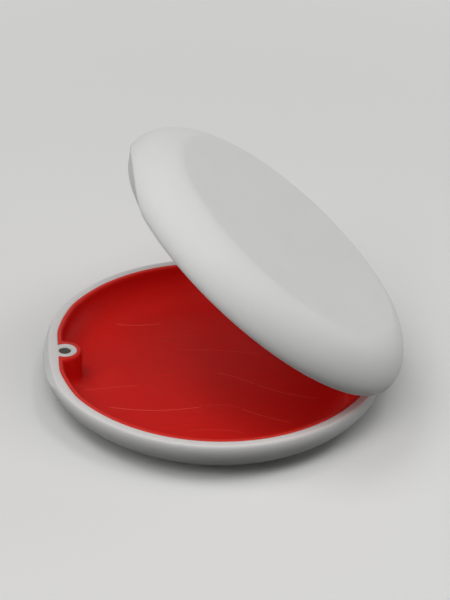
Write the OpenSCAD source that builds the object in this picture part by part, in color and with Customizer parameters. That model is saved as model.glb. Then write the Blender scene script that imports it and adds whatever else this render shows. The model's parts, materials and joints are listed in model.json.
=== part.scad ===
// Round hinged case for a dental retainer: two lined shells, a sunk hinge and a magnet catch.
// Millimetres. +Z is up, the front of the case is towards -Y and the hinge is at +Y.
// The origin is the centre of the flat that the base rests on.

/* [Shells] */
// Widest diameter of the case
case_d = 86; // [76:0.5:96]
// Height of the base, from its resting face to its rim
base_h = 11.3; // [10:0.1:16]
// Height of the lid, from its rim to its flat top
lid_h = 11.6; // [9.5:0.1:16]
// Diameter of the flat that the base rests on
base_flat_d = 57.2; // [44:0.2:66]
// Diameter of the lid's flat top
lid_flat_d = 59.6; // [56:0.2:74]
// Fullness of the base's side: 2 is an ellipse, more is squarer
base_fullness = 1.92; // [1.6:0.02:2.4]
// Fullness of the lid's shoulder
lid_fullness = 1.88; // [1.6:0.02:2.4]
// Width of the white rim outside the liner, also in front of the liner's front flat
rim_w = 2.4; // [2:0.1:3.5]
// Thickness of each shell under its liner
shell_t = 2; // [1.5:0.1:3]
// How far the rounding of the rim's outer edge reaches in
edge_round_w = 0.6; // [0.4:0.05:1.4]
// How far the rounding of the rim's outer edge reaches along the wall
edge_round_h = 1.6; // [0.6:0.1:2.2]
// Gap between the two rims when the case is shut
parting_gap = 0.3; // [0.2:0.05:0.5]

/* [Liners] */
// Thickness of the red liners
liner_t = 1.2; // [0.8:0.05:1.6]
// Diameter of the flat part of each tray's floor
floor_d = 56; // [40:0.5:60]
// Fullness of the curve from the tray's wall to its floor
tray_fullness = 1.9; // [1.6:0.05:3]
// Glue line between a liner or a magnet and its shell
glue_t = 0.05; // [0.02:0.01:0.1]

/* [Thumb facets] */
// How far the facet cuts into the front rim at its middle
thumb_cut = 1.7; // [1:0.05:2.2]
// Angle from the middle of the front to each end of the facet, in degrees
thumb_span = 24; // [22:1:36]
// Slope of the facet from upright, in degrees
thumb_slope = 22; // [12:1:35]

/* [Magnet catch] */
// Diameter of each disc magnet
magnet_d = 3; // [2:0.5:4]
// Thickness of each disc magnet
magnet_t = 2; // [1:0.5:3]
// How far each magnet lies below its rim
magnet_recess = 0.3; // [0.05:0.05:0.4]
// Wall of the boss round the magnet
boss_wall = 1.5; // [1:0.1:2]
// Distance from the liner's front flat to the boss's centre
boss_set = 1.65; // [1:0.05:3]

/* [Hinge] */
// Distance from the widest circle in to the hinge axis
hinge_inset = 5.2; // [4.6:0.1:7]
// Depth of the hinge axis below the base's rim
hinge_drop = 3.6; // [3:0.1:4.2]
// Diameter of the hinge pin
pin_d = 2; // [1.5:0.1:2.4]
// Wall of the lid's tongue round the pin
tongue_wall = 1.4; // [1:0.1:1.8]
// Width of the lid's tongue
tongue_w = 16; // [10:0.5:22]
// Thickness of the wall between the tongue's slot and the liner
hinge_web = 1.7; // [1.2:0.1:2.5]
// Gap at the sides of the tongue and round its swing
swing_gap = 0.3; // [0.2:0.05:0.5]
// Gap left between the tongue and the floor of its slot at full opening
stop_gap = 0.15; // [0.05:0.05:0.15]
// Radial clearance of the pin in the turning tongue
running_fit = 0.05; // [0.02:0.01:0.08]
// Radial clearance of the pin where the base holds it
holding_fit = 0.01; // [0.01:0.005:0.02]
// How far each end of the pin lies inside the case's wall
pin_set = 0.2; // [0.1:0.05:0.6]
// Bevel on the pin's ends
pin_bevel = 0.25; // [0.1:0.05:0.4]
// How far the lid stands open, in degrees
open_angle = 38.5; // [0:0.1:95]
// Opening at which the tongue meets the end of its slot, in degrees
max_open = 95; // [90:1:100]

/* [Hidden] */
$fn = 96;
// Straight steps along the curve of a wall, and along the rounding of the rim's edge
curve_steps = 12;
edge_steps = 6;
// Extra reach of a cutting shape past the face that it cuts
over = 1;

case_r = case_d / 2;
rim_z = base_h;
lid_z = rim_z + parting_gap;
liner_edge_r = case_r - rim_w;
boss_r = magnet_d / 2 + boss_wall;
front_flat_y = -(case_r - thumb_cut - rim_w);
boss_y = front_flat_y + boss_set;

hinge_y = case_r - hinge_inset;
hinge_z = rim_z - hinge_drop;
tongue_r = pin_d / 2 + tongue_wall;
slot_r = tongue_r + swing_gap;
slot_w = tongue_w + 2 * swing_gap;
stop_r = tongue_r + stop_gap;
rear_flat_y = hinge_y - slot_r - hinge_web;

// The facet is part of a cone whose circle at the rim runs through the cut at the middle
// of the front and meets the widest circle at the span's ends.
thumb_mid_r = case_r - thumb_cut;
thumb_back = (case_r ^ 2 - thumb_mid_r ^ 2) / (2 * (thumb_mid_r - case_r * cos(thumb_span)));
thumb_r = thumb_mid_r + thumb_back;

// Radius of the base's outer wall at a depth below its rim, below the rounded edge
function base_wall_r(depth) =
    let (share = (depth - edge_round_h) / (base_h - edge_round_h))
    let (flat_r = base_flat_d / 2)
    flat_r + (case_r - flat_r) * (1 - share ^ base_fullness) ^ (1 / base_fullness);

// The pin ends where its outer side would come out of the wall
pin_l = 2 * (sqrt(base_wall_r(hinge_drop) ^ 2 - (hinge_y + pin_d / 2) ^ 2) - pin_set);

white = [0.92, 0.92, 0.91];
red = [0.75, 0.07, 0.05];
magnet_grey = [0.22, 0.22, 0.2];
steel = [0.72, 0.73, 0.74];

// Quarter of a superellipse, from [r_out, z_start] to [r_in, z_end]
function quarter_curve(r_out, r_in, z_start, z_end, fullness) = [
    for (i = [0 : curve_steps])
        let (a = 90 * i / curve_steps)
        [
            r_in + (r_out - r_in) * cos(a) ^ (2 / fullness),
            z_start + (z_end - z_start) * sin(a) ^ (2 / fullness)
        ]
];

// Rounding of the rim's outer edge, up to where the wall is widest
function rim_edge() = [
    for (i = [0 : edge_steps - 1])
        let (a = 90 * i / edge_steps)
        [case_r - edge_round_w * (1 - sin(a)), edge_round_h * (1 - cos(a))]
];

// One half of the pebble as a solid, with its rim at z = 0 and its flat at z = h
module half_body(h, flat_d, fullness) {
    wall = quarter_curve(case_r, flat_d / 2, edge_round_h, h, fullness);
    rotate_extrude()
        polygon(concat([[0, 0]], rim_edge(), wall, [[0, h]]));
}

// The space inside a half, drawn in by inset from the shell's pocket, without the boss
module tray_form(depth, inset, above) {
    edge_r = liner_edge_r - inset;
    wall = quarter_curve(edge_r, floor_d / 2, 0, depth, tray_fullness);
    difference() {
        intersection() {
            rotate_extrude()
                polygon(concat([[0, -above], [edge_r, -above]], wall, [[0, depth]]));
            translate([-case_r, front_flat_y + inset, -above - over])
                cube([case_d, rear_flat_y - front_flat_y - 2 * inset, depth + above + 2 * over]);
        }
        translate([0, boss_y, -above - over])
            cylinder(r = boss_r + inset, h = depth + above + 2 * over);
    }
}

// Inside of the cone that a thumb facet lies on: a half reaches out of it only at the front
module thumb_cone(h) {
    grow = tan(thumb_slope);
    translate([0, thumb_back, -over])
        cylinder(r1 = thumb_r - over * grow, r2 = thumb_r + (h + over) * grow, h = h + 2 * over);
}

// One white half with its pocket, boss and thumb facet, rim at z = 0
module half_shell(h, flat_d, fullness) {
    difference() {
        intersection() {
            half_body(h, flat_d, fullness);
            thumb_cone(h);
        }
        tray_form(h - shell_t, 0, over);
        translate([0, boss_y, -over])
            cylinder(d = magnet_d + 2 * glue_t, h = over + magnet_recess + magnet_t + glue_t);
    }
}

// The liner of one half, rim at z = 0
module half_liner(h) {
    depth = h - shell_t - glue_t;
    difference() {
        tray_form(depth, glue_t, 0);
        tray_form(depth - liner_t, glue_t + liner_t, over);
    }
}

// The magnet of one half, rim at z = 0
module half_magnet() {
    translate([0, boss_y, magnet_recess])
        cylinder(d = magnet_d, h = magnet_t);
}

// Turns a half upside down to make the base
module as_base() {
    translate([0, 0, rim_z]) mirror([0, 0, 1]) children();
}

// Places a half as the shut lid
module as_lid() {
    translate([0, 0, lid_z]) children();
}

// Swings what is drawn shut to where the lid stands
module swung_open() {
    at_hinge() rotate([-open_angle, 0, 0]) translate([0, -hinge_y, -hinge_z]) children();
}

module at_hinge() {
    translate([0, hinge_y, hinge_z]) children();
}

// Draws a bar along the hinge axis from its section, with y to the right and z up from the axis
module along_hinge(l) {
    at_hinge() rotate([90, 0, 90]) linear_extrude(height = l, center = true) children();
}

// What comes off the back of the base so that the lid's rim can roll round the hinge axis:
// above the axis all but a round of the hinge's depth, below it all behind a flat
module rear_cut_off() {
    along_hinge(case_d) difference() {
        translate([0, -base_h])
            square([hinge_inset + over, base_h + hinge_drop + over]);
        circle(r = hinge_drop);
        translate([-over, -base_h - over])
            square([hinge_drop + over, base_h + over]);
    }
}

// Slot for the tongue, open upwards and backwards, with its floor where the tongue stops
module tongue_slot() {
    along_hinge(slot_w) {
        circle(r = slot_r);
        translate([-slot_r, 0])
            square([slot_r + hinge_inset + over, hinge_drop + over]);
        rotate(-max_open) translate([-stop_r, 0])
            square([2 * stop_r, hinge_inset + 2 * over]);
    }
}

// Tongue that hangs from the lid's rim and turns on the pin
module tongue() {
    along_hinge(tongue_w) {
        circle(r = tongue_r);
        translate([-tongue_r, 0])
            square([2 * tongue_r, hinge_drop + parting_gap + over]);
    }
}

module base_shell() {
    color(white) difference() {
        as_base() half_shell(base_h, base_flat_d, base_fullness);
        rear_cut_off();
        tongue_slot();
        along_hinge(case_d) circle(r = pin_d / 2 + holding_fit);
    }
}

module base_liner() {
    color(red) as_base() half_liner(base_h);
}

module base_magnet() {
    color(magnet_grey) as_base() half_magnet();
}

module hinge_pin() {
    end_r = pin_d / 2 - pin_bevel;
    side_l = pin_l / 2 - pin_bevel;
    color(steel) at_hinge() rotate([0, 90, 0]) rotate_extrude() polygon([
        [0, -pin_l / 2],
        [end_r, -pin_l / 2],
        [pin_d / 2, -side_l],
        [pin_d / 2, side_l],
        [end_r, pin_l / 2],
        [0, pin_l / 2]
    ]);
}

module lid_shell() {
    color(white) swung_open() difference() {
        union() {
            as_lid() half_shell(lid_h, lid_flat_d, lid_fullness);
            tongue();
        }
        along_hinge(slot_w) circle(r = pin_d / 2 + running_fit);
    }
}

module lid_liner() {
    color(red) swung_open() as_lid() half_liner(lid_h);
}

module lid_magnet() {
    color(magnet_grey) swung_open() as_lid() half_magnet();
}

base_shell();
base_liner();
base_magnet();
hinge_pin();
lid_shell();
lid_liner();
lid_magnet();
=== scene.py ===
"""Looks of a round hinged retainer case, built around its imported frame.

Every solid is worked out as whole numpy arrays: rings of points round an axis, or a section carried
along the hinge. A half of the case is drawn with its rim at z = 0 and its flat at z = height, and then
placed as the base or as the standing lid. Lengths are metres, angles are radians.
"""

import json
import logging
import math
from dataclasses import dataclass, replace
from enum import Enum
from typing import Callable, Mapping, Sequence

import bpy
import numpy as np
from bpy.types import ID, Material, Node, NodeOutputs, NodeSocket, NodeTree, Object
from mathutils import Matrix, Vector


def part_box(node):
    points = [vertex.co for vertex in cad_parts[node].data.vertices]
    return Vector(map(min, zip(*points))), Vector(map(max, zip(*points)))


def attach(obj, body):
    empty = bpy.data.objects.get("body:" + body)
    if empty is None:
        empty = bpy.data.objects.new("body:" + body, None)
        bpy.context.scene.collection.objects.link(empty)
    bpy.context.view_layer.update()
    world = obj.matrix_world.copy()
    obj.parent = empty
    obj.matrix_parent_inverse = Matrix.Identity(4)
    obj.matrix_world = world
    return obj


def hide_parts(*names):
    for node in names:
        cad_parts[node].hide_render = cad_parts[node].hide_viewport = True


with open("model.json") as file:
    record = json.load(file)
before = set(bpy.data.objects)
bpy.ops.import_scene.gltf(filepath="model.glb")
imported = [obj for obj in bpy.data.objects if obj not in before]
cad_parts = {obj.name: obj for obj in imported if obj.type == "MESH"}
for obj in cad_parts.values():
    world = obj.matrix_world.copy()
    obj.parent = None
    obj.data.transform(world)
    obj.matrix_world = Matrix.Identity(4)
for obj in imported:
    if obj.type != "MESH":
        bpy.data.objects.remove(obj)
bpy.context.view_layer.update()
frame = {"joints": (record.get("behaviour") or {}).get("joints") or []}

log = logging.getLogger("retainer_case")

MM = 0.001
TAU = 2 * math.pi
# The attribute that holds a point's depth below its half's rim, which places the painted highlight on the
# liners' lips
RIM_DEPTH = "rim_depth"
# Depth of the base's thumb facet at the rim, which the pocket's front flat keeps clear of
THUMB_CUT = 1.7 * MM
# Edges with a larger angle stay sharp
CRISP = math.radians(32)
# Rings across a half's flat and a tray's floor, as shares of their radius
FLAT_SHARES = (0.3, 0.6, 0.85)
FLOOR_SHARES = (0.8, 0.55, 0.25)
# A flat wall that faces away from an angle is put out of reach there
LEAST_COSINE = 0.1
OUT_OF_REACH = 1.0

Place = Callable[[np.ndarray], np.ndarray]
Triple = tuple[float, float, float]


def as_drawn(points: np.ndarray) -> np.ndarray:
    """The place of a solid that is drawn where it belongs."""
    return points


class Cut(Enum):
    """How one solid works on another."""

    TAKE_OFF = "DIFFERENCE"
    JOIN = "UNION"


class Slot(Enum):
    """The record's material slots."""

    WHITE = "white_shell"
    RED = "red_liner"
    MAGNET = "magnet"
    STEEL = "pin_steel"


@dataclass(frozen=True)
class CaseSizes:
    """Sizes that both halves share. The radius, hinge and opening come from the frame."""

    radius: float
    hinge_y: float
    hinge_z: float
    open_angle: float
    rim_width: float = 2.3 * MM
    front_rim_width: float = 2.4 * MM
    pocket_bow: float = 1.06 * MM
    pocket_span: float = math.radians(31)
    shell_wall: float = 2.0 * MM
    edge_round_in: float = 0.6 * MM
    edge_round_down: float = 1.6 * MM
    liner_wall: float = 1.2 * MM
    liner_proud: float = 0.08 * MM
    glue: float = 0.03 * MM
    floor_radius: float = 30.0 * MM
    tray_fullness: float = 2.3
    magnet_radius: float = 1.5 * MM
    magnet_height: float = 2.0 * MM
    magnet_recess: float = 0.3 * MM
    boss_wall: float = 1.5 * MM
    boss_set: float = 1.65 * MM
    parting_gap: float = 0.3 * MM
    pin_radius: float = 1.0 * MM
    tongue_wall: float = 1.4 * MM
    tongue_width: float = 16.0 * MM
    hinge_web: float = 1.7 * MM
    swing_gap: float = 0.3 * MM
    stop_gap: float = 0.15 * MM
    pin_play: float = 0.05 * MM
    pin_hold: float = 0.01 * MM
    max_open: float = math.radians(95)
    over: float = 1.0 * MM

    @property
    def rim_z(self) -> float:
        """Height of the base's rim."""
        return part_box("base_shell")[1].z

    @property
    def hinge_drop(self) -> float:
        """Depth of the hinge axis below the base's rim."""
        return self.rim_z - self.hinge_z

    @property
    def liner_edge(self) -> float:
        """Outer radius of the liners."""
        return self.radius - self.rim_width

    @property
    def boss_radius(self) -> float:
        """Outer radius of the boss round a magnet."""
        return self.magnet_radius + self.boss_wall

    @property
    def front_flat(self) -> float:
        """Distance from the centre to the pocket's front flat."""
        return self.radius - THUMB_CUT - self.front_rim_width

    @property
    def boss_reach(self) -> float:
        """Distance from the centre forward to the boss's axis."""
        return self.front_flat - self.boss_set

    @property
    def tongue_radius(self) -> float:
        """Radius of the tongue's round end."""
        return self.pin_radius + self.tongue_wall

    @property
    def slot_radius(self) -> float:
        """Radius of the slot round the tongue's end."""
        return self.tongue_radius + self.swing_gap

    @property
    def rear_flat(self) -> float:
        """Distance from the centre to the pocket's rear flat."""
        return self.hinge_y - self.slot_radius - self.hinge_web


def smooth_least(first: np.ndarray, second: np.ndarray, blend: float | np.ndarray) -> np.ndarray:
    """The lesser of two values, less a parabola of height blend / 4 where they are within blend."""
    near = np.clip(blend - np.abs(first - second), 0, None) / blend
    return np.minimum(first, second) - near**2 * blend / 4


def bow(r_out: float, r_in: float, z_start: float, z_end: float, fullness: float, steps: int) -> np.ndarray:
    """Quarter of a superellipse from (r_out, z_start) to (r_in, z_end).

    Args:
        r_out: Radius where the curve is upright.
        r_in: Radius where the curve lies flat.
        z_start: Height of the upright end.
        z_end: Height of the flat end.
        fullness: Exponent of the curve: 2 is an ellipse, more is squarer.
        steps: Number of stretches along the curve.

    Returns:
        Array of (radius, height) rows.
    """
    a = np.linspace(0, math.pi / 2, steps + 1)
    share_r = np.clip(np.cos(a), 0, 1) ** (2 / fullness)
    share_z = np.clip(np.sin(a), 0, 1) ** (2 / fullness)
    return np.stack([r_in + (r_out - r_in) * share_r, z_start + (z_end - z_start) * share_z], axis=1)


def flat_arc(middle: float, side: float, span: float, angle: np.ndarray) -> np.ndarray:
    """Radius at each angle of a circle about a point behind the centre, from middle to side at span."""
    back = (side**2 - middle**2) / (2 * (middle - side * math.cos(span)))
    return np.sqrt((middle + back) ** 2 - (back * np.sin(angle)) ** 2) - back * np.cos(angle)


def flat_wall(distance: np.ndarray, toward: np.ndarray) -> np.ndarray:
    """Radius of a flat wall: its distance over the cosine toward it, out of reach where that is small."""
    facing = np.clip(toward, LEAST_COSINE, None)
    return np.where(toward > LEAST_COSINE, distance / facing, OUT_OF_REACH)


@dataclass(frozen=True)
class Turn:
    """Angles once round the case, closer together within fine_reach to each side of the front."""

    fine_reach: float
    fine_steps: int
    wide_steps: int

    def angles(self) -> np.ndarray:
        """Angles from -fine_reach up to a full turn later, without the last.

        Returns:
            Array of fine_steps + wide_steps angles.
        """
        fine = np.linspace(-self.fine_reach, self.fine_reach, self.fine_steps, endpoint=False)
        wide = np.linspace(self.fine_reach, TAU - self.fine_reach, self.wide_steps, endpoint=False)
        return np.concatenate([fine, wide])


OUTSIDE_TURN = Turn(fine_reach=math.radians(33), fine_steps=264, wide_steps=296)
TRAY_TURN = Turn(fine_reach=math.radians(9), fine_steps=180, wide_steps=300)
LINER_TURN = Turn(fine_reach=math.radians(9), fine_steps=60, wide_steps=300)


def from_front(angle: np.ndarray) -> np.ndarray:
    """How far each angle is turned from the front, to either side."""
    return np.abs(np.where(angle > math.pi, angle - TAU, angle))


def round_points(radius: np.ndarray, angle: np.ndarray, height: np.ndarray) -> np.ndarray:
    """Points (rings, points, 3) from radii (rings, points), angles (points) and heights (rings)."""
    z = np.broadcast_to(height[:, None], radius.shape)
    return np.stack([radius * np.sin(angle), -radius * np.cos(angle), z], axis=2)


def linked(name: str, data: ID) -> Object:
    """A new object with this data, in the scene.

    Args:
        name: Name of the object.
        data: Its mesh, lamp or camera.

    Returns:
        The object, linked to the scene.
    """
    made = bpy.data.objects.new(name, data)
    bpy.context.scene.collection.objects.link(made)
    return made


@dataclass
class Surface:
    """Points and faces of a closed solid, before it becomes a mesh."""

    points: np.ndarray
    faces: list[list[int]]

    @classmethod
    def from_rings(cls, rings: np.ndarray, start: Sequence[float], end: Sequence[float]) -> "Surface":
        """A solid made of closed rings one after another, with a fan of faces to a pole at each end.

        Args:
            rings: Points of shape (rings, points, 3).
            start: The pole before the first ring.
            end: The pole after the last ring.

        Returns:
            The closed solid.
        """
        count, around = rings.shape[:2]
        points = np.concatenate([rings.reshape(-1, 3), [start], [end]])
        index = np.arange(count * around).reshape(count, around)
        beside = np.roll(index, -1, axis=1)
        quads = np.stack([index[:-1], beside[:-1], beside[1:], index[1:]], axis=2).reshape(-1, 4)
        first_pole = np.full(around, count * around)
        first_fan = np.stack([first_pole, beside[0], index[0]], axis=1)
        last_fan = np.stack([first_pole + 1, index[-1], beside[-1]], axis=1)
        return cls(points, quads.tolist() + first_fan.tolist() + last_fan.tolist())

    @classmethod
    def from_section(cls, section: np.ndarray, length: float, axis_at: Sequence[float]) -> "Surface":
        """A bar along X with a section drawn in (y, z) from the bar's axis.

        Args:
            section: Corners of the section, in order.
            length: Length of the bar.
            axis_at: (y, z) of the bar's axis.

        Returns:
            The closed bar.
        """
        around = len(section)
        flat = section + np.asarray(axis_at)
        ends = [np.column_stack([np.full(around, x), flat]) for x in (-length / 2, length / 2)]
        index = np.arange(around)
        beside = np.roll(index, -1)
        sides = np.stack([index, beside, beside + around, index + around], axis=1).tolist()
        caps = [index[::-1].tolist(), (index + around).tolist()]
        return cls(np.concatenate(ends), sides + caps)

    def volume(self) -> float:
        """Signed volume: positive when the faces point outwards.

        Returns:
            A sixth of the sum of a . (b x c) over the triangles of all faces.
        """
        fans = [(f[0], f[k], f[k + 1]) for f in self.faces for k in range(1, len(f) - 1)]
        a, b, c = (self.points[np.array(fans)[:, k]] for k in range(3))
        return float(np.einsum("ij,ij->i", a, np.cross(b, c)).sum() / 6)

    def placed(self, place: Place) -> "Surface":
        """The solid where it belongs, with its faces outwards whether or not the place mirrors it.

        Args:
            place: Moves points to where they belong.

        Returns:
            The moved solid.
        """
        moved = Surface(place(self.points), self.faces)
        if moved.volume() < 0:
            moved.faces = [face[::-1] for face in moved.faces]
        return moved

    def mesh_object(self, name: str) -> Object:
        """A new Blender object with these points and faces, at the origin.

        Args:
            name: Name of the object.

        Returns:
            The object, linked to the scene.
        """
        mesh = bpy.data.meshes.new(name)
        mesh.from_pydata(self.points.tolist(), [], self.faces)
        mesh.validate()
        return linked(name, mesh)


Work = Sequence[tuple[Cut, Surface]]


def worked(body: Object, tools: Work) -> Object:
    """Cuts solids off a body, or joins them to it, and keeps the result as its mesh.

    Args:
        body: The object to work on.
        tools: What to do, and with which solid, in order.

    Returns:
        The same object.
    """
    helpers = []
    for number, (cut, tool) in enumerate(tools):
        helper = tool.mesh_object(f"{body.name}_tool_{number}")
        step = body.modifiers.new(f"step_{number}", "BOOLEAN")
        step.operation = cut.value
        step.solver = "MANIFOLD"
        step.object = helper
        helpers.append(helper)
    graph = bpy.context.evaluated_depsgraph_get()
    graph.update()
    done = bpy.data.meshes.new_from_object(body.evaluated_get(graph))
    body.modifiers.clear()
    body.data = done
    done.name = body.name
    for helper in helpers:
        bpy.data.objects.remove(helper)
    return body


def shaded(body: Object) -> Object:
    """Smooth shading, with the edges of a larger angle than CRISP kept sharp.

    Args:
        body: The object to shade.

    Returns:
        The same object.
    """
    body.data.shade_smooth()
    body.data.set_sharp_from_angle(angle=CRISP)
    return body


def dress(piece: Object, node: str, body: str, slot: Slot, material: Material) -> None:
    """Gives a piece its material, hides the frame's node that it stands for and hangs it on the body that it
    rides on.

    Args:
        piece: The finished piece.
        node: The node of the frame that it stands for.
        body: The body that it rides on.
        slot: The record's slot for its material; not used.
        material: The material.
    """
    piece.data.materials.clear()
    piece.data.materials.append(material)
    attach(piece, body)
    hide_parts(node)
    log.info("%s: %d faces on body %s", piece.name, len(piece.data.polygons), body)


@dataclass(frozen=True)
class ThumbFacet:
    """The bevel for a thumb at the front of one half's rim.

    At the rim it is a flat arc, cut deepest at the front. Away from the rim it leans out, and it leans out
    more steeply towards its ends.
    """

    cut: float
    span: float
    slope: float
    end: float
    span_cut: float = 0.0
    power: float = 2.0
    steepest: float = 0.05

    def radius(self, rim: float, angle: np.ndarray, height: np.ndarray) -> np.ndarray:
        """Radius of the facet: an arc about a point behind the centre, plus height times its lean.

        Args:
            rim: Radius of the case.
            angle: Angles from the front, of shape (points,).
            height: Heights from the rim, of shape (rings,).

        Returns:
            Radii of shape (rings, points).
        """
        at_rim = flat_arc(rim - self.cut, rim - self.span_cut, self.span, angle)
        fading = np.clip(1 - (from_front(angle) / self.end) ** self.power, self.steepest, None)
        lean = math.tan(self.slope) / fading
        return at_rim + height[:, None] * lean


BASE_THUMB = ThumbFacet(
    cut=THUMB_CUT, span=math.radians(24), slope=math.radians(22), end=math.radians(60)
)
LID_THUMB = ThumbFacet(
    cut=1.58 * MM,
    span=math.radians(40.4),
    slope=math.radians(24.2),
    end=math.radians(25.1),
    span_cut=0.46 * MM,
    power=1.58,
)


@dataclass(frozen=True)
class Lip:
    """A rounded edge at the rim: a quarter ellipse, so far in and so far down."""

    inward: float
    down: float
    start: float = math.radians(35)
    steps: int = 12

    def rows(self, top: float, above: float) -> np.ndarray:
        """The hollow's edge as (set-back, height) rows, from above the rim downwards.

        The ellipse starts where its slope is steep enough to leave a crisp line on the flat.

        Args:
            top: Height of the flat.
            above: How far the hollow goes on above the flat.

        Returns:
            Rows down to where the edge runs into the wall.
        """
        first = math.atan(math.tan(self.start) * self.inward / self.down)
        a = np.linspace(first, math.pi / 2, self.steps)
        curve = np.stack([self.inward * (1 - np.sin(a)), top + self.down * (1 - np.cos(a))], axis=1)
        rise = curve[0, 1] - top + self.inward / 2
        flare = curve[0] + rise * np.array([1 / math.tan(self.start), -1.0])
        return np.concatenate([[[flare[0], top - above], flare], curve])


SHELL_LIP = Lip(inward=0.15 * MM, down=0.15 * MM, steps=6)
LINER_LIP = Lip(inward=0.6 * MM, down=0.9 * MM, steps=11)


def bevelled_end(radius: float, bevel: float) -> np.ndarray:
    """One end of a round bar as (radius, height) rows: in its face, round its bevel and onto its side."""
    inner, knee = 0.5 * radius, 0.3 * bevel
    return np.array([[inner, 0], [radius - bevel, 0], [radius - knee, knee], [radius, bevel]])


@dataclass
class Half:
    """One half of the case: a white shell, its red liner and its magnet, rim at z = 0."""

    name: str
    sizes: CaseSizes
    height: float
    flat_radius: float
    fullness: float
    thumb: ThumbFacet
    place: Place
    crease: float = 0.1 * MM
    corner: float = 0.3 * MM
    fillet: float = 1.1 * MM
    foot_fillet: float = 2.6 * MM
    sleeve_climb: float = 140 * MM
    magnet_bevel: float = 0.15 * MM
    join_gap: float = 0.02 * MM
    wall_steps: int = 64
    rim_steps: int = 20
    lip_steps: int = 5
    boss_steps: int = 96

    def wall_profile(self) -> np.ndarray:
        """Outline of the outside from the rim's inner start to the flat, as (radius, height) rows.

        The rim's edge is a quarter ellipse and the wall is a quarter superellipse.

        Returns:
            Array of (radius, height) rows.
        """
        s = self.sizes
        a = np.linspace(0, math.pi / 2, self.rim_steps, endpoint=False)
        start = s.edge_round_down
        edge = np.stack([s.radius - s.edge_round_in * (1 - np.sin(a)), start * (1 - np.cos(a))], axis=1)
        wall = bow(s.radius, self.flat_radius, start, self.height, self.fullness, self.wall_steps)
        return np.concatenate([edge, wall])

    def outer_body(self) -> Surface:
        """The half as a full body: rings from its flat down its wall, round the rim and in to the centre.

        Returns:
            The closed solid, whose radius is the lesser of the wall's and the thumb facet's.
        """
        angle = OUTSIDE_TURN.angles()
        flat = np.array([[share * self.flat_radius, self.height] for share in FLAT_SHARES])
        profile = np.concatenate([flat, self.wall_profile()[::-1]])
        radius = np.broadcast_to(profile[:, :1], (len(profile), len(angle)))
        facet = self.thumb.radius(self.sizes.radius, angle, profile[:, 1])
        radius = smooth_least(radius, facet, self.crease)
        rings = round_points(radius, angle, profile[:, 1])
        return Surface.from_rings(rings, (0, 0, self.height), (0, 0, 0))

    def tray_radius(
        self, angle: np.ndarray, disc: np.ndarray, inset: np.ndarray, deep: np.ndarray, sleeve: bool
    ) -> np.ndarray:
        """Radius of the hollow: the least of a round wall, a flat arc and a flat at the front, a flat at the
        back and a boss's sleeve, which run into each other more softly towards the floor.

        Args:
            angle: Angles from the front, of shape (points,).
            disc: Radius of the round wall at each height, of shape (rings,).
            inset: How far arc, flats and sleeve stand in from the shell's pocket, of shape (rings,).
            deep: Height as a share of the depth, of shape (rings,).
            sleeve: Whether the hollow goes round the boss.

        Returns:
            Radii of shape (rings, points).
        """
        s = self.sizes
        toward = np.cos(angle)
        inset, deep = inset[:, None], np.clip(deep, 0, 1)[:, None]
        front = flat_wall(s.front_flat - inset, toward)
        rear = flat_wall(s.rear_flat - inset, -toward)
        bowed = flat_arc(s.liner_edge - s.pocket_bow, s.liner_edge, s.pocket_span, angle) - inset
        wall = np.broadcast_to(disc[:, None], front.shape)
        blend = self.corner + (self.fillet - self.corner) * deep
        wall = smooth_least(smooth_least(wall, bowed, self.crease), front, blend)
        wall = smooth_least(wall, rear, self.fillet)
        if not sleeve:
            return wall
        reach = s.boss_radius + inset
        limit = np.arcsin(reach / s.boss_reach)
        turned = from_front(angle)
        side = np.minimum(turned, limit)
        half_chord = np.sqrt(np.clip(reach**2 - (s.boss_reach * np.sin(side)) ** 2, 0, None))
        beside = np.clip(turned - limit, 0, None)
        near = s.boss_reach * np.cos(side) - half_chord + beside * self.sleeve_climb
        return smooth_least(wall, near, self.fillet + (self.foot_fillet - self.fillet) * deep)

    def tray(self, inset: float, depth: float, top: float, lip: Lip, sleeve: bool) -> Surface:
        """A hollow as a solid, from above the rim down its wall to its floor.

        Args:
            inset: How far it stands in from the shell's pocket.
            depth: Depth of its floor below the rim.
            top: Height of the flat that its edge is rounded from.
            lip: The rounding of that edge.
            sleeve: Whether it goes round the boss.

        Returns:
            The closed solid.
        """
        s = self.sizes
        angle = TRAY_TURN.angles()
        edge = s.liner_edge - inset
        wall = bow(edge, s.floor_radius, 0, depth, s.tray_fullness, self.wall_steps)
        mouth = lip.rows(top, s.over)
        under = np.clip(mouth[:, 1] / depth, 0, 1) ** s.tray_fullness
        mouth_wall = s.floor_radius + (edge - s.floor_radius) * (1 - under) ** (1 / s.tray_fullness)
        wall = wall[wall[:, 1] > mouth[-1, 1] + self.join_gap]
        disc = np.concatenate([mouth_wall + mouth[:, 0], wall[:, 0]])
        height = np.concatenate([mouth[:, 1], wall[:, 1]])
        insets = np.concatenate([inset - mouth[:, 0], np.full(len(wall), inset)])
        radius = self.tray_radius(angle, disc, insets, height / depth, sleeve)
        floor = np.array(FLOOR_SHARES)[:, None] * radius[-1]
        levels = np.concatenate([height, np.full(len(floor), depth)])
        rings = round_points(np.concatenate([radius, floor]), angle, levels)
        return Surface.from_rings(rings, (0, 0, height[0]), (0, 0, depth))

    def column(self, profile: np.ndarray) -> Surface:
        """A round column on the boss's axis from (radius, height) rows, closed at both ends.

        Args:
            profile: The rows, from one end to the other.

        Returns:
            The closed column.
        """
        angle = np.linspace(0, TAU, self.boss_steps, endpoint=False)
        radius = np.broadcast_to(profile[:, :1], (len(profile), len(angle)))
        rings = round_points(radius, angle, profile[:, 1])
        rings[:, :, 1] -= self.sizes.boss_reach
        start = (0, -self.sizes.boss_reach, profile[0, 1])
        end = (0, -self.sizes.boss_reach, profile[-1, 1])
        return Surface.from_rings(rings, start, end)

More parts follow.
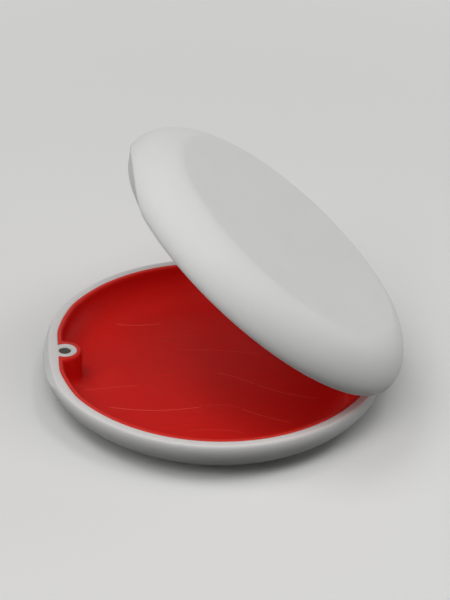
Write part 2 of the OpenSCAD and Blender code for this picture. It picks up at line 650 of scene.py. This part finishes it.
    def boss(self, grown: float, lip: bool) -> Surface:
        """The boss's column, from above the rim plane to below the pocket's floor.

        Args:
            grown: How much wider than the boss it is.
            lip: Whether its top edge is rounded.

        Returns:
            The closed column.
        """
        s = self.sizes
        radius = s.boss_radius + grown
        mouth = SHELL_LIP.rows(0.0, s.over) if lip else np.array([[0, -s.over]])
        top = np.array([[radius - mouth[0, 0], -2 * s.over]])
        body = np.stack([radius - mouth[:, 0], mouth[:, 1]], axis=1)
        foot = np.array([[radius, self.height + s.over]])
        return self.column(np.concatenate([top, body, foot]))

    def magnet_hole(self) -> Surface:
        """The pocket for the magnet, with a rounded mouth.

        Returns:
            The pocket as a closed column.
        """
        s = self.sizes
        radius = s.magnet_radius + s.glue
        mouth = SHELL_LIP.rows(0.0, s.over)
        body = np.stack([radius + mouth[:, 0], mouth[:, 1]], axis=1)
        foot = np.array([[radius, s.magnet_recess + s.magnet_height + s.glue]])
        return self.column(np.concatenate([body, foot]))

    def magnet(self) -> Object:
        """The disc magnet, with bevelled rims.

        Returns:
            The magnet's object, in place.
        """
        s = self.sizes
        radius, bevel = s.magnet_radius, self.magnet_bevel
        foot = s.magnet_recess + s.magnet_height
        upper = bevelled_end(radius, bevel) + [0, s.magnet_recess]
        lower = np.array([[radius, foot - bevel], [radius - bevel, foot], [upper[0, 0], foot]])
        disc = self.column(np.concatenate([upper, lower])).placed(self.place)
        return shaded(disc.mesh_object(f"{self.name}_magnet_disc"))

    def pocket(self) -> Object:
        """The hollow that the shell leaves for its liner: a tray less the boss, as a cutting object.

        Returns:
            The cutting object, in place.
        """
        s = self.sizes
        tray = self.tray(0.0, self.height - s.shell_wall, 0.0, SHELL_LIP, sleeve=False)
        made = tray.placed(self.place).mesh_object(f"{self.name}_pocket")
        return worked(made, [(Cut.TAKE_OFF, self.boss(0.0, lip=True).placed(self.place))])

    def shell(self, tools: Work) -> Object:
        """The white shell with its pocket, boss, magnet pocket and hinge work.

        Args:
            tools: The hinge's own cuts and joins.

        Returns:
            The shell's object.
        """
        made = self.outer_body().placed(self.place).mesh_object(f"{self.name}_shell_moulding")
        pocket = self.pocket()
        hollow = Surface(
            np.array([v.co for v in pocket.data.vertices]), [list(p.vertices) for p in pocket.data.polygons]
        )
        bpy.data.objects.remove(pocket)
        cuts = [(Cut.TAKE_OFF, hollow), (Cut.TAKE_OFF, self.magnet_hole().placed(self.place))]
        return shaded(worked(made, [*cuts, *tools]))

    def liner(self) -> Object:
        """The red liner: a tray with a sleeve round the boss, a trace proud of the rim.

        Returns:
            The liner's object, in place.
        """
        s = self.sizes
        depth = self.height - s.shell_wall - s.glue
        inset, floor = s.glue + s.liner_wall, depth - s.liner_wall
        made = self.liner_body(depth).placed(self.place).mesh_object(f"{self.name}_liner_tray")
        hollow = self.tray(inset, floor, -s.liner_proud, LINER_LIP, sleeve=True)
        tools = [
            (Cut.TAKE_OFF, self.boss(s.glue, lip=False).placed(self.place)),
            (Cut.TAKE_OFF, hollow.placed(self.place)),
        ]
        return self.marked(shaded(worked(made, tools)))

    def marked(self, piece: Object) -> Object:
        """Notes on each point of a piece how deep it lies below this half's rim plane.

        Args:
            piece: A placed piece of this half.

        Returns:
            The same piece, with the depths as the attribute that the finishes read to place the painted
            highlight on the lip.
        """
        points = np.empty(3 * len(piece.data.vertices))
        piece.data.vertices.foreach_get("co", points)
        rim, inward = self.place(np.array([[0, 0, 0], [0, 0, 1.0]]))
        depth = (points.reshape(-1, 3) - rim) @ (inward - rim)
        piece.data.attributes.new(RIM_DEPTH, "FLOAT", "POINT").data.foreach_set("value", depth)
        return piece

    def liner_body(self, depth: float) -> Surface:
        """The liner before it is hollowed: the pocket's shape drawn in by the glue, its top edge rounded.

        Args:
            depth: Depth of its underside below the rim.

        Returns:
            The closed solid.
        """
        s = self.sizes
        angle = LINER_TURN.angles()
        edge = s.liner_edge - s.glue
        a = np.linspace(0, math.pi / 2, self.lip_steps)
        wall = bow(edge, s.floor_radius, 0, depth, s.tray_fullness, self.wall_steps)[self.lip_steps - 1 :]
        rounding = SHELL_LIP.inward * (1 - np.sin(a))
        top = np.stack([edge - rounding, SHELL_LIP.down * (1 - np.cos(a)) - s.liner_proud], axis=1)
        disc, height = np.concatenate([top, wall]).T
        insets = s.glue + np.append(rounding, np.zeros(len(wall)))
        radius = self.tray_radius(angle, disc, insets, height / depth, sleeve=False)
        rings = round_points(radius, angle, height)
        return Surface.from_rings(rings, (0, 0, -s.liner_proud), (0, 0, depth))

    def build(self, hinge_work: Work, white: Material, red: Material, plate: Material) -> None:
        """Builds the shell, the liner and the magnet, and dresses them.

        Args:
            hinge_work: The hinge's cuts and joins on the shell.
            white: The shell's material.
            red: The liner's material.
            plate: The magnet's material.
        """
        dress(self.shell(hinge_work), f"{self.name}_shell", self.name, Slot.WHITE, white)
        dress(self.liner(), f"{self.name}_liner", self.name, Slot.RED, red)
        dress(self.magnet(), f"{self.name}_magnet", self.name, Slot.MAGNET, plate)


def arc(radius: float, start: float, end: float, steps: int) -> np.ndarray:
    """Points on a circle about (0, 0), from one angle to another."""
    a = np.linspace(start, end, steps + 1)
    return radius * np.stack([np.cos(a), np.sin(a)], axis=1)


@dataclass
class Hinge:
    """The sunk hinge: cuts in the base, the lid's tongue, the bores and the pin."""

    sizes: CaseSizes
    place_lid: Place
    pin_bevel: float = 0.25 * MM
    round_steps: int = 40
    bore_steps: int = 64
    pin_steps: int = 48
    snug: float = 1e-9

    @property
    def axis_at(self) -> tuple[float, float]:
        """(y, z) of the hinge axis."""
        return (self.sizes.hinge_y, self.sizes.hinge_z)

    @property
    def past_rear(self) -> tuple[float, float]:
        """(y, z) from the hinge axis to a point behind the base's outline and above its rim."""
        s = self.sizes
        return (s.radius - s.hinge_y + 2 * s.over, s.hinge_drop + s.over)

    def bar(self, section: np.ndarray, length: float) -> Surface:
        """A bar along the hinge axis."""
        return Surface.from_section(section, length, self.axis_at)

    def rear_cut(self) -> Surface:
        """What comes off behind the base: all outside a quarter round about the axis and a flat below it.

        Returns:
            The cutting bar.
        """
        s = self.sizes
        far, top = self.past_rear
        foot = -s.hinge_z - s.over
        quarter = arc(s.hinge_drop, 0, math.pi / 2, self.round_steps)
        corners = np.array([[0, top], [far, top], [far, foot], [s.hinge_drop, foot]])
        return self.bar(np.concatenate([quarter, corners]), 2 * s.radius + s.over)

    def tongue_slot(self) -> Surface:
        """The slot for the tongue: a round about the axis, open upwards, with a sloping floor as its stop.

        The floor's line crosses the round where it is the stop's distance away from the axis.

        Returns:
            The cutting bar.
        """
        s = self.sizes
        far, top = self.past_rear
        stop = s.tongue_radius + s.stop_gap
        along = np.array([math.sin(s.max_open), math.cos(s.max_open)])
        down = np.array([along[1], -along[0]])
        meet = math.atan2(down[1], down[0]) - math.acos(stop / s.slot_radius)
        floor_end = down * stop + along * far
        turn = arc(s.slot_radius, math.pi, TAU + meet, self.round_steps)
        corners = np.array([floor_end, [far, top], [-s.slot_radius, top]])
        keep = turn @ down < stop + self.snug
        return self.bar(np.concatenate([turn[keep], corners]), s.tongue_width + 2 * s.swing_gap)

    def tongue(self) -> Surface:
        """The lid's tongue: a bar with a round end about the axis, up into the lid's rim.

        Returns:
            The bar, swung open with the lid.
        """
        s = self.sizes
        top = s.hinge_drop + s.parting_gap + s.over
        turn = arc(s.tongue_radius, math.pi, TAU, self.round_steps)
        corners = np.array([[s.tongue_radius, top], [-s.tongue_radius, top]])
        return self.bar(np.concatenate([turn, corners]), s.tongue_width).placed(self.place_lid)

    def bore(self, play: float, length: float) -> Surface:
        """A hole along the axis with that much room round the pin."""
        return self.bar(arc(self.sizes.pin_radius + play, 0, TAU, self.bore_steps)[:-1], length)

    def pin(self) -> Object:
        """The hinge pin with bevelled ends, between the ends that the frame gives.

        Returns:
            The pin's object.
        """
        low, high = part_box("hinge_pin")
        end = bevelled_end(self.sizes.pin_radius, self.pin_bevel)
        profile = np.concatenate([end, end[::-1] * [1, -1] + [0, high.x - low.x]])
        a = np.linspace(0, TAU, self.pin_steps, endpoint=False)
        x = np.broadcast_to(low.x + profile[:, 1:], (len(profile), len(a)))
        y = self.sizes.hinge_y + profile[:, :1] * np.cos(a)
        z = self.sizes.hinge_z + profile[:, :1] * np.sin(a)
        ends = [(low.x, *self.axis_at), (high.x, *self.axis_at)]
        solid = Surface.from_rings(np.stack([x, y, z], axis=2), *ends).placed(as_drawn)
        return shaded(solid.mesh_object("hinge_pin_rod"))

    def build(self, steel: Material) -> None:
        """Builds the pin and dresses it."""
        dress(self.pin(), "hinge_pin", "base", Slot.STEEL, steel)

    def base_cuts(self) -> Work:
        """What the hinge takes off the base.

        Returns:
            The rear cut, the tongue's slot and the pin's bore.
        """
        s = self.sizes
        cuts = [self.rear_cut(), self.tongue_slot(), self.bore(s.pin_hold, 2 * s.radius)]
        return [(Cut.TAKE_OFF, cut.placed(as_drawn)) for cut in cuts]

    def lid_work(self) -> Work:
        """What the hinge adds to the lid and takes off it."""
        bore = self.bore(self.sizes.pin_play, self.sizes.tongue_width + self.sizes.over)
        return [(Cut.JOIN, self.tongue()), (Cut.TAKE_OFF, bore.placed(as_drawn))]


def base_place(sizes: CaseSizes) -> Place:
    """Turns a half upside down, with its rim at the base's rim."""
    return lambda points: points * [1, 1, -1] + [0, 0, sizes.rim_z]


def swing(sizes: CaseSizes) -> Place:
    """Swings shut points about the hinge to where the lid stands.

    Args:
        sizes: Sizes of the case, for the hinge axis and the opening angle.

    Returns:
        The turn: points less the hinge, times the turn about X, plus the hinge.
    """
    cos, sin = math.cos(sizes.open_angle), math.sin(sizes.open_angle)
    turn = np.array([[1, 0, 0], [0, cos, sin], [0, -sin, cos]])
    hinge = np.array([0, sizes.hinge_y, sizes.hinge_z])
    return lambda points: (points - hinge) @ turn.T + hinge


def lid_place(sizes: CaseSizes) -> Place:
    """Sets a half on the base as the lid, and swings it open."""
    turn = swing(sizes)
    return lambda points: turn(points + [0, 0, sizes.rim_z + sizes.parting_gap])


Signal = float | NodeSocket


@dataclass(frozen=True)
class Wiring:
    """Adds nodes to one node tree and joins their sockets."""

    tree: NodeTree

    def add(self, kind: str, sockets: Mapping[str | int, object] | None = None, **settings: object) -> Node:
        """A new node.

        Args:
            kind: Blender's name for the node's type.
            sockets: Inputs to fill.
            settings: The node's options.

        Returns:
            The node.
        """
        node = self.tree.nodes.new(kind)
        for name, value in settings.items():
            setattr(node, name, value)
        self.fill(node, sockets or {})
        return node

    def fill(self, node: Node, sockets: Mapping[str | int, object]) -> None:
        """Sets inputs of a node.

        Args:
            node: The node.
            sockets: Its inputs: a socket is linked, anything else becomes the input's own value.
        """
        for socket, value in sockets.items():
            if isinstance(value, NodeSocket):
                self.tree.links.new(value, node.inputs[socket])
            else:
                node.inputs[socket].default_value = value

    def math(self, operation: str, first: Signal, second: Signal = 0.0) -> NodeSocket:
        """One sum on two values."""
        return self.add("ShaderNodeMath", {0: first, 1: second}, operation=operation).outputs[0]

    def vector(self, operation: str, first: object, second: object = (0, 0, 0)) -> Node:
        """One sum on one or two vectors, whose answer is the output Vector or Value."""
        return self.add("ShaderNodeVectorMath", {0: first, 1: second}, operation=operation)

    def scaled(self, vector: object, factor: Signal) -> NodeSocket:
        """A vector or colour times a value."""
        return self.add("ShaderNodeVectorMath", {0: vector, "Scale": factor}, operation="SCALE").outputs[0]

    def ramp(self, value: Signal, low: Signal, high: Signal, to: tuple[float, float] = (0, 1)) -> NodeSocket:
        """A smooth step from to[0] at low to to[1] at high."""
        sockets = {"Value": value, "From Min": low, "From Max": high, "To Min": to[0], "To Max": to[1]}
        return self.add("ShaderNodeMapRange", sockets, interpolation_type="SMOOTHSTEP").outputs["Result"]

    def noise(self, vector: object, scale: Signal, detail: float = 2.0, warp: float = 0.0) -> NodeSocket:
        """Soft noise between 0 and 1."""
        sockets = {"Vector": vector, "Scale": scale, "Detail": detail, "Distortion": warp}
        return self.add("ShaderNodeTexNoise", sockets).outputs[0]

    def mix(self, factor: Signal, first: object, second: object) -> NodeSocket:
        """A colour between two others, which are the inputs 6 and 7 of a mix of colours."""
        return self.add("ShaderNodeMix", {0: factor, 6: first, 7: second}, data_type="RGBA").outputs[2]

    def group(self, tree: NodeTree, sockets: Mapping[str, object]) -> NodeSocket:
        """The one output of a node group."""
        return self.add("ShaderNodeGroup", sockets, node_tree=tree).outputs[0]


class Socket(Enum):
    """Kinds of socket on a node group."""

    VALUE = "NodeSocketFloat"
    VECTOR = "NodeSocketVector"
    COLOR = "NodeSocketColor"


def open_group(
    name: str, inputs: Mapping[str, Socket], outputs: Mapping[str, Socket]
) -> tuple[Wiring, NodeOutputs, Node]:
    """A new shader node group with named sockets.

    Args:
        name: Name of the group.
        inputs: Its inputs and their kinds.
        outputs: Its outputs and their kinds.

    Returns:
        The group's wiring, the sockets that come in and the node that goes out.
    """
    tree = bpy.data.node_groups.new(name, "ShaderNodeTree")
    for way, sockets in (("INPUT", inputs), ("OUTPUT", outputs)):
        for label, kind in sockets.items():
            tree.interface.new_socket(name=label, in_out=way, socket_type=kind.value)
    wiring = Wiring(tree)
    return wiring, wiring.add("NodeGroupInput").outputs, wiring.add("NodeGroupOutput")


def moulded_grain_group() -> NodeTree:
    """Fine texture of a sparked mould: soft noise with shallow round pits, Pitch apart.

    Returns:
        The group, whose Height is a share of the noise plus a share of the distance to the nearest pit.
    """
    inputs = {"Vector": Socket.VECTOR, "Pitch": Socket.VALUE}
    nodes, given, out = open_group("moulded_grain", inputs, {"Height": Socket.VALUE})
    pit_scale, pit_smoothness = 0.7, 0.6
    soft_share, pit_share = 0.65, 0.35
    scale = nodes.math("DIVIDE", 1.0, given["Pitch"])
    soft = nodes.math("MULTIPLY", nodes.noise(given["Vector"], scale), soft_share)
    sockets = {"Vector": given["Vector"], "Scale": nodes.math("MULTIPLY", scale, pit_scale)}
    sockets |= {"Smoothness": pit_smoothness}
    pits = nodes.add("ShaderNodeTexVoronoi", sockets, feature="SMOOTH_F1").outputs["Distance"]
    height = nodes.math("ADD", soft, nodes.math("MULTIPLY", pits, pit_share))
    nodes.fill(out, {"Height": height})
    return nodes.tree


def tone_drift_group() -> NodeTree:
    """A colour that drifts a little lighter and darker, over patches about Reach wide.

    Returns:
        The group, whose Color is the given one times 1 plus Amount times the centred noise.
    """
    inputs = {"Vector": Socket.VECTOR, "Color": Socket.COLOR, "Reach": Socket.VALUE, "Amount": Socket.VALUE}
    nodes, given, out = open_group("tone_drift", inputs, {"Color": Socket.COLOR})
    middle, spread = 0.5, 4.0
    wide = nodes.noise(given["Vector"], nodes.math("DIVIDE", 1.0, given["Reach"]), detail=4.0)
    centred = nodes.math("MULTIPLY", nodes.math("SUBTRACT", wide, middle), spread)
    factor = nodes.math("ADD", nodes.math("MULTIPLY", centred, given["Amount"]), 1.0)
    nodes.fill(out, {"Color": nodes.scaled(given["Color"], factor)})
    return nodes.tree


def handling_marks_group() -> NodeTree:
    """Traces of use between 0 and 1: soft smudges about Reach wide, crossed by sparse hairlines.

    Returns:
        The group, whose Mask is the greater of the two.
    """
    inputs = {"Vector": Socket.VECTOR, "Reach": Socket.VALUE}
    nodes, given, out = open_group("handling_marks", inputs, {"Mask": Socket.VALUE})
    smudge_from, smudge_to, smudge_share = 0.42, 0.72, 0.6
    hair_from, hair_to, hair_share = 0.66, 0.7, 0.8
    hair_turn, hair_stretch = (0.3, 0.2, 0.9), (1.0, 26.0, 26.0)
    scale = nodes.math("DIVIDE", 1.0, given["Reach"])
    soft = nodes.noise(given["Vector"], scale, detail=4.0, warp=1.2)
    smudge = nodes.math("MULTIPLY", nodes.ramp(soft, smudge_from, smudge_to), smudge_share)
    mapping = {"Vector": given["Vector"], "Rotation": hair_turn, "Scale": hair_stretch}
    fine = nodes.noise(nodes.add("ShaderNodeMapping", mapping).outputs[0], scale, detail=3.0)
    hair = nodes.math("MULTIPLY", nodes.ramp(fine, hair_from, hair_to), hair_share)
    nodes.fill(out, {"Mask": nodes.math("MAXIMUM", smudge, hair)})
    return nodes.tree


def flow_streak_group() -> NodeTree:
    """One thin bowed line where the melt met: 1 on the line, 0 beside it.

    With u running 0 to 1 from Start along Along, the line stands 4 Bow u (1 - u) to its left, and the mask
    falls off over Width to each side and over the first and last twelfth of its length.

    Returns:
        The group, whose Mask is the line times its faded ends.
    """
    inputs = {"Vector": Socket.VECTOR, "Start": Socket.VECTOR, "Along": Socket.VECTOR}
    inputs |= {"Bow": Socket.VALUE, "Width": Socket.VALUE}
    nodes, given, out = open_group("flow_streak", inputs, {"Mask": Socket.VALUE})
    offset = nodes.vector("SUBTRACT", given["Vector"], given["Start"]).outputs["Vector"]
    length = nodes.vector("LENGTH", given["Along"]).outputs["Value"]
    way = nodes.vector("NORMALIZE", given["Along"]).outputs["Vector"]
    left = nodes.vector("CROSS_PRODUCT", (0, 0, 1), way).outputs["Vector"]
    u = nodes.math("DIVIDE", nodes.vector("DOT_PRODUCT", offset, way).outputs["Value"], length)
    hump = nodes.math("MULTIPLY", u, nodes.math("SUBTRACT", 1.0, u))
    bowed = nodes.math("MULTIPLY", nodes.math("MULTIPLY", hump, 4.0), given["Bow"])
    aside = nodes.math("SUBTRACT", nodes.vector("DOT_PRODUCT", offset, left).outputs["Value"], bowed)
    line = nodes.ramp(nodes.math("ABSOLUTE", aside), 0.0, given["Width"], to=(1, 0))
    fade = 0.08
    ends = nodes.math("MULTIPLY", nodes.ramp(u, 0.0, fade), nodes.ramp(u, 1 - fade, 1.0, to=(1, 0)))
    nodes.fill(out, {"Mask": nodes.math("MULTIPLY", line, ends)})
    return nodes.tree


@dataclass(frozen=True)
class Effects:
    """The node groups that the finishes share, each built once."""

    grain: NodeTree
    drift: NodeTree
    marks: NodeTree
    streak: NodeTree

    @classmethod
    def build(cls) -> "Effects":
        """Builds all the groups."""
        return cls(moulded_grain_group(), tone_drift_group(), handling_marks_group(), flow_streak_group())


@dataclass(frozen=True)
class FlowStreak:
    """A faint line in a moulded tray, in millimetres across the case."""

    start: tuple[float, float]
    end: tuple[float, float]
    bow: float
    strength: float


BASE_STREAKS = (
    FlowStreak((13.4, -27.8), (14.6, -3.8), -1.66, 1.0),
    FlowStreak((14.6, -3.8), (15.9, 5.0), 1.08, 0.4),
    FlowStreak((15.9, 5.0), (22.9, 17.2), -0.48, 0.75),
    FlowStreak((-0.1, 0.7), (5.8, 10.1), 0.49, 0.7),
    FlowStreak((5.8, 10.1), (12.9, 25.3), -0.88, 0.85),
    FlowStreak((-23.9, -23.9), (-23.8, -11.2), -0.53, 0.85),
    FlowStreak((6.2, -33.1), (4.5, -18.8), 0.17, 0.6),
    FlowStreak((-11.0, -8.6), (-8.0, 12.8), 0.75, 0.35),
    FlowStreak((24.6, -8.6), (26.4, 5.3), 0.85, 0.4),
)


@dataclass(frozen=True)
class Finish:
    """A finish with grain, a slow drift of tone, traces of use and, on a liner, a painted highlight on its
    lip. Lengths are metres.
    """

    name: str
    color: Triple
    roughness: float
    specular: float
    metallic: float = 0.0
    inner_light: float = 0.0
    inner_reach: float = 1.0 * MM
    inner_tint: Triple = (1.0, 0.95, 0.9)
    drift_reach: float = 16 * MM
    drift: float = 0.012
    drawn_reach: float = 0.5 * MM
    drawn: float = 0.0
    drawn_stretch: Triple = (1, 0.08, 1)
    marks_reach: float = 20 * MM
    marks: float = 0.08
    grain_pitch: float = 0.28 * MM
    grain_depth: float = 0.012 * MM
    stretch: Triple = (1, 1, 1)
    # A painted highlight: a lighter red on the liner's top face, where light catches it, down to
    # highlight_depth below the rim
    lip_highlight: Triple | None = None
    highlight_depth: tuple[float, float] = (-0.04 * MM, 0.1 * MM)
    streaks: tuple[FlowStreak, ...] = ()
    streak_color: Triple = (0.95, 0.11, 0.085)
    streak_width: float = 0.22 * MM

    def material(self, effects: Effects) -> Material:
        """A new material with this finish.

        Args:
            effects: The shared node groups.

        Returns:
            The material.
        """
        made = bpy.data.materials.new(self.name)
        made.use_nodes = True
        nodes = Wiring(made.node_tree)
        place = nodes.add("ShaderNodeTexCoord").outputs["Object"]
        drawn = nodes.add("ShaderNodeMapping", {"Vector": place, "Scale": self.stretch}).outputs[0]
        marks = nodes.group(effects.marks, {"Vector": drawn, "Reach": self.marks_reach})
        grain = nodes.group(effects.grain, {"Vector": drawn, "Pitch": self.grain_pitch})
        bump = {"Height": grain, "Distance": self.grain_depth, "Strength": 1.0}
        sockets = {
            "Base Color": self.drifting_color(nodes, effects, place),
            "Roughness": nodes.math("ADD", nodes.math("MULTIPLY", marks, self.marks), self.roughness),
            "Normal": nodes.add("ShaderNodeBump", bump).outputs["Normal"],
            "Metallic": self.metallic,
            "Specular IOR Level": self.specular,
            "Subsurface Weight": self.inner_light,
            "Subsurface Scale": self.inner_reach,
            "Subsurface Radius": self.inner_tint,
        }
        nodes.fill(made.node_tree.nodes["Principled BSDF"], sockets)
        return made

    def drifting_color(self, nodes: Wiring, effects: Effects, place: NodeSocket) -> NodeSocket:
        """The colour with its drift of tone and fine drawn lines, a painted highlight on a lip and another
        tone on streaks.

        Args:
            nodes: The material's wiring.
            effects: The shared node groups.
            place: Object coordinates.

        Returns:
            The colour's socket.
        """
        sockets = {"Vector": place, "Color": (*self.color, 1)}
        color = nodes.group(effects.drift, sockets | {"Reach": self.drift_reach, "Amount": self.drift})
        if self.drawn:
            along = nodes.add("ShaderNodeMapping", {"Vector": place, "Scale": self.drawn_stretch}).outputs[0]
            sockets = {"Vector": along, "Color": color}
            color = nodes.group(effects.drift, sockets | {"Reach": self.drawn_reach, "Amount": self.drawn})
        # Painted highlight: the lighter lip colour on the liner's top face, fading out over highlight_depth
        # below the rim
        if self.lip_highlight:
            depth = nodes.add("ShaderNodeAttribute", attribute_name=RIM_DEPTH).outputs["Fac"]
            color = nodes.mix(nodes.ramp(depth, *self.highlight_depth, to=(1, 0)), color, (*self.lip_highlight, 1))
        if not self.streaks:
            return color
        total: Signal = 0.0
        for streak in self.streaks:
            start, end = (np.array([*point, 0]) * MM for point in (streak.start, streak.end))
            sockets = {"Vector": place, "Start": start.tolist(), "Along": (end - start).tolist()}
            sockets |= {"Bow": streak.bow * MM, "Width": self.streak_width}
            mask = nodes.group(effects.streak, sockets)
            total = nodes.math("ADD", total, nodes.math("MULTIPLY", mask, streak.strength))
        return nodes.mix(total, color, (*self.streak_color, 1))


WHITE_MOULDED = Finish(
    "white_moulded",
    (0.8, 0.8, 0.785),
    roughness=0.5,
    specular=0.3,
    inner_light=0.6,
    inner_reach=1.6 * MM,
)
RED = (0.745, 0.0125, 0.008)
# Painted highlight: a lighter, whiter red for the top face of the liners' lips, where light catches them
RED_LIP_HIGHLIGHT = (0.74, 0.036, 0.024)
RED_LID = Finish(
    "red_tray_lid", RED, roughness=0.5, specular=0.2, drift=0.03, drawn=0.045, lip_highlight=RED_LIP_HIGHLIGHT
)
RED_BASE = replace(RED_LID, name="red_tray_base", streaks=BASE_STREAKS)
MAGNET_PLATE = Finish(
    "magnet_plate",
    (0.048, 0.05, 0.034),
    roughness=0.38,
    specular=0.5,
    metallic=0.4,
    drift_reach=0.8 * MM,
    drift=0.1,
    marks_reach=2 * MM,
)
PIN_STEEL = Finish(
    "drawn_steel",
    (0.6, 0.6, 0.61),
    roughness=0.28,
    specular=0.5,
    metallic=1.0,
    marks_reach=3 * MM,
    marks=0.2,
    stretch=(0.06, 1, 1),
)


def direction(azimuth: float, elevation: float) -> Vector:
    """Unit vector from the case towards a viewer: azimuth 0 is the front (-Y), a quarter turn is +X."""
    level = math.cos(elevation)
    return Vector((math.sin(azimuth) * level, -math.cos(azimuth) * level, math.sin(elevation)))


def aim(made: Object, target: Vector, away: Vector, roll: float = 0.0) -> None:
    """Puts a lamp or camera away from a target, looking at it, and rolls it about its line of sight.

    Args:
        made: The lamp or camera.
        target: The point that it looks at.
        away: The way and distance from the target.
        roll: Its turn about the line of sight.
    """
    made.location = target + away
    made.rotation_mode = "QUATERNION"
    turn = (-away).to_track_quat("-Z", "Y")
    made.rotation_quaternion = turn @ Matrix.Rotation(roll, 3, "Z").to_quaternion()


@dataclass(frozen=True)
class Lamp:
    """A square softbox aimed at the case. Azimuth 0 is the front and 90 is +X, in degrees."""

    name: str
    azimuth: float
    elevation: float
    watts: float
    side: float = 0.7
    distance: float = 1.6

    def place(self, target: Vector) -> None:
        """Sets the lamp up, aimed at target.

        Args:
            target: The point that it lights.
        """
        data = bpy.data.lights.new(self.name, "AREA")
        data.energy, data.size = self.watts, self.side
        way = direction(math.radians(self.azimuth), math.radians(self.elevation))
        aim(linked(self.name, data), target, way * self.distance)


LAMPS = (
    Lamp("front_top", 0, 64, 4.8),
    Lamp("side_top", 80, 64, 6.5),
    Lamp("rear_top", 160, 64, 6.2),
    Lamp("front_side", 40, 42, 4.2),
    Lamp("front_low", 0, 6, 3.6),
    Lamp("rear_low", 152, 8, 2.4),
    Lamp("far_fill", 200, 8, 3.4),
)


def seen_ray(nodes: Wiring) -> NodeSocket:
    """1 for rays that show the background: from the camera, off gloss and through glass.

    Args:
        nodes: Wiring of the material or world that asks.

    Returns:
        The greatest of the three kinds' flags.
    """
    path = nodes.add("ShaderNodeLightPath").outputs
    gloss = nodes.math("MAXIMUM", path["Is Glossy Ray"], path["Is Transmission Ray"])
    return nodes.math("MAXIMUM", path["Is Camera Ray"], gloss)


@dataclass
class Studio:
    """Camera, pale floor, softboxes and an even world."""

    target: Vector
    azimuth: float = math.radians(83.21)
    elevation: float = math.radians(32.94)
    roll: float = math.radians(2.077)
    distance: float = 477.6 * MM
    lens: float = 114.74
    shift: tuple[float, float] = (0.0176, 0.0766)
    pale: Triple = (0.86, 0.86, 0.85)
    far_tone: Triple = (0.68, 0.68, 0.672)
    unseen: Triple = (0.04, 0.04, 0.04)
    lit_reach: tuple[float, float] = (130 * MM, 420 * MM)
    ambient: float = 0.025
    sensor: float = 36.0
    clip: tuple[float, float] = (0.01, 20.0)
    floor_reach: float = 6.0
    floor_drop: float = 0.02 * MM
    floor_roughness: float = 0.9
    floor_specular: float = 0.1
    lamp_target: float = 20 * MM

    def camera(self) -> None:
        """A camera at the photograph's viewing angle, aimed at the middle of the base's rim."""
        data = bpy.data.cameras.new("camera")
        data.lens = self.lens
        data.sensor_width = self.sensor
        data.shift_x, data.shift_y = self.shift
        data.clip_start, data.clip_end = self.clip
        made = linked("camera", data)
        aim(made, self.target, direction(self.azimuth, self.elevation) * self.distance, self.roll)
        bpy.context.scene.camera = made

    def floor(self) -> None:
        """A wide plain floor, pale where it is seen and dim to light that bounces off it.

        Round the case it takes the lamps' light and shadows. Farther off it glows evenly at the same tone.
        """
        corners = self.floor_reach * np.array([[-1, -1, 0], [1, -1, 0], [1, 1, 0], [-1, 1, 0]])
        made = Surface(corners - [0, 0, self.floor_drop], [[0, 1, 2, 3]]).mesh_object("floor")
        material = bpy.data.materials.new("floor_pale")
        material.use_nodes = True
        nodes = Wiring(material.node_tree)
        seen = seen_ray(nodes)
        place = nodes.add("ShaderNodeTexCoord").outputs["Object"]
        away = nodes.vector("LENGTH", place).outputs["Value"]
        far = nodes.math("MULTIPLY", nodes.ramp(away, *self.lit_reach), seen)
        black = (0, 0, 0, 1)
        near_tone = nodes.mix(seen, (*self.unseen, 1), (*self.pale, 1))
        sockets = {
            "Base Color": nodes.mix(far, near_tone, black),
            "Emission Color": nodes.mix(far, black, (*self.far_tone, 1)),
            "Emission Strength": 1.0,
            "Roughness": self.floor_roughness,
            "Specular IOR Level": self.floor_specular,
        }
        nodes.fill(material.node_tree.nodes["Principled BSDF"], sockets)
        made.data.materials.append(material)

    def light(self) -> None:
        """The softboxes, and a world that is dim as light and pale where it is seen."""
        world = bpy.data.worlds.new("studio")
        bpy.context.scene.world = world
        world.use_nodes = True
        nodes = Wiring(world.node_tree)
        dim = (self.ambient, self.ambient, self.ambient, 1)
        color = nodes.mix(seen_ray(nodes), dim, (*self.far_tone, 1))
        nodes.fill(world.node_tree.nodes["Background"], {"Color": color})
        for lamp in LAMPS:
            lamp.place(Vector((0, 0, self.lamp_target)))


def main() -> None:
    """Builds the case's pieces, dresses them and sets the studio."""
    logging.basicConfig(level=logging.INFO, format="%(name)s: %(message)s")
    bpy.context.scene.view_settings.view_transform = "Standard"
    joint = frame["joints"][0]
    sizes = CaseSizes(
        radius=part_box("base_shell")[1].x,
        hinge_y=joint["pos_m"][1],
        hinge_z=joint["pos_m"][2],
        open_angle=math.radians(-joint["range_deg"][0]),
    )
    base = Half(
        "base",
        sizes,
        height=11.3 * MM,
        flat_radius=28.6 * MM,
        fullness=1.92,
        thumb=BASE_THUMB,
        place=base_place(sizes),
    )
    lid = Half(
        "lid",
        sizes,
        height=10.9 * MM,
        flat_radius=33.0 * MM,
        fullness=1.77,
        thumb=LID_THUMB,
        place=lid_place(sizes),
    )
    hinge = Hinge(sizes, swing(sizes))
    effects = Effects.build()
    white = WHITE_MOULDED.material(effects)
    plate = MAGNET_PLATE.material(effects)
    base.build(hinge.base_cuts(), white, RED_BASE.material(effects), plate)
    hinge.build(PIN_STEEL.material(effects))
    lid.build(hinge.lid_work(), white, RED_LID.material(effects), plate)
    studio = Studio(Vector((0, 0, sizes.rim_z)))
    studio.camera()
    studio.floor()
    studio.light()


if __name__ == "__main__":
    main()
